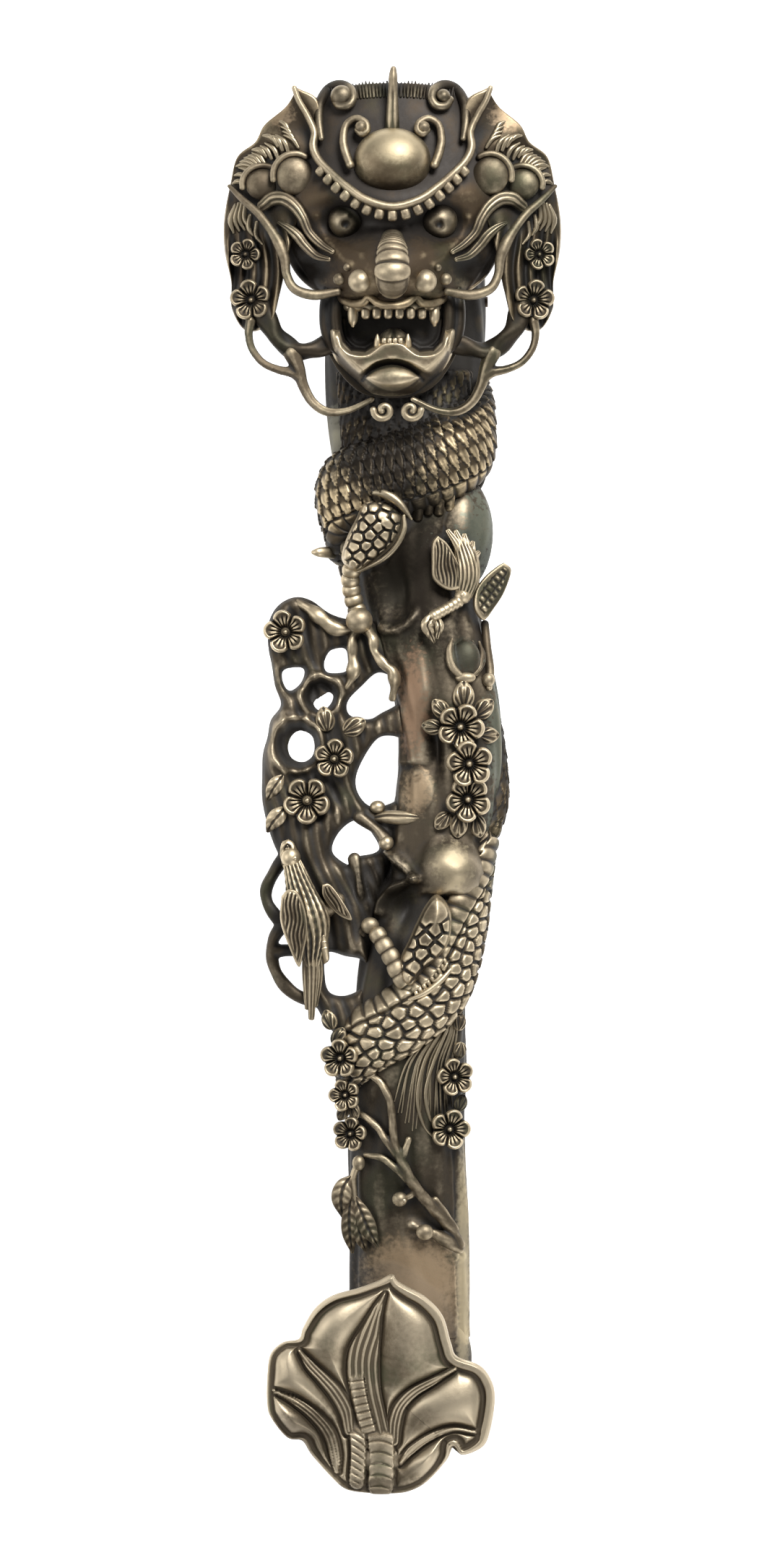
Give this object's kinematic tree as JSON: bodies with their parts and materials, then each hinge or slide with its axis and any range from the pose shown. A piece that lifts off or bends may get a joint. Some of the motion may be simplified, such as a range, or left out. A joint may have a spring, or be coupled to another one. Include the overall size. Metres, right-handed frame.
{
  "type": "ruyi scepter",
  "caption": "Cast-bronze ruyi scepter: a plum-trunk shaft with a dragon's head, coiled scaled body, birds, blossoms and openwork branches, and a cloud-shaped leaf at its foot.",
  "frame": {"origin": "on the table, under the middle of the bounding box", "axes": "+Y from the cloud leaf towards the dragon's head, +X to the right of someone facing it, +Z out of its front"},
  "size_m": [0.1, 0.4208, 0.0698],
  "materials": {
    "worn_bronze": "worn bronze with dark patina in the recesses",
    "brown_bronze": "brown bronze, rubbed",
    "dark_bronze": "dark patina",
    "copper": "rubbed copper"
  },
  "bodies": {
    "root": {"neck_rivet": "copper", "tail_rivet": "copper", "trunk_shell": "brown_bronze", "neck_elbow": "dark_bronze", "tail_elbow": "brown_bronze", "dragon_coil_upper": "worn_bronze", "dragon_coil_lower": "worn_bronze", "dragon_coil_back": "dark_bronze", "face_mask": "worn_bronze", "lower_jaw": "worn_bronze", "tongue": "worn_bronze", "nose": "worn_bronze", "eye_left": "dark_bronze", "eye_right": "dark_bronze", "upper_teeth": "worn_bronze", "forehead_pearl": "worn_bronze", "brow_crest": "worn_bronze", "crown_spike": "worn_bronze", "inner_curl_left": "worn_bronze", "inner_curl_right": "worn_bronze", "outer_curl_left": "worn_bronze", "outer_curl_right": "worn_bronze", "mane_plate_left": "dark_bronze", "mane_plate_right": "dark_bronze", "cheek_cloud_left": "worn_bronze", "cheek_cloud_right": "worn_bronze", "cheek_whisker_left": "worn_bronze", "cheek_whisker_right": "worn_bronze", "cheek_fin_left": "worn_bronze", "cheek_fin_right": "worn_bronze", "beard_loop_left": "worn_bronze", "beard_loop_right": "worn_bronze", "chin_curls": "worn_bronze", "mane_blossom_upper_left": "worn_bronze", "mane_blossom_lower_left": "worn_bronze", "mane_blossom_upper_right": "worn_bronze", "mane_blossom_lower_right": "worn_bronze", "branch_lattice": "worn_bronze", "lattice_blossom_top": "worn_bronze", "lattice_blossom_middle": "worn_bronze", "lattice_blossom_lower": "worn_bronze", "dragon_foreleg": "worn_bronze", "dragon_foreclaw": "worn_bronze", "dragon_hind_leg": "worn_bronze", "tail_hair": "dark_bronze", "flying_bird": "worn_bronze", "perched_bird": "worn_bronze", "trunk_blossom_middle": "worn_bronze", "trunk_blossom_upper": "worn_bronze", "trunk_blossom_lower": "worn_bronze", "left_blossom_upper": "worn_bronze", "left_blossom_middle": "worn_bronze", "left_blossom_lower": "worn_bronze", "right_blossom_upper": "worn_bronze", "right_blossom_lower": "worn_bronze", "lower_twig": "worn_bronze", "leaf_spray": "worn_bronze", "cloud_leaf": "worn_bronze"}
  },
  "joints": []
}
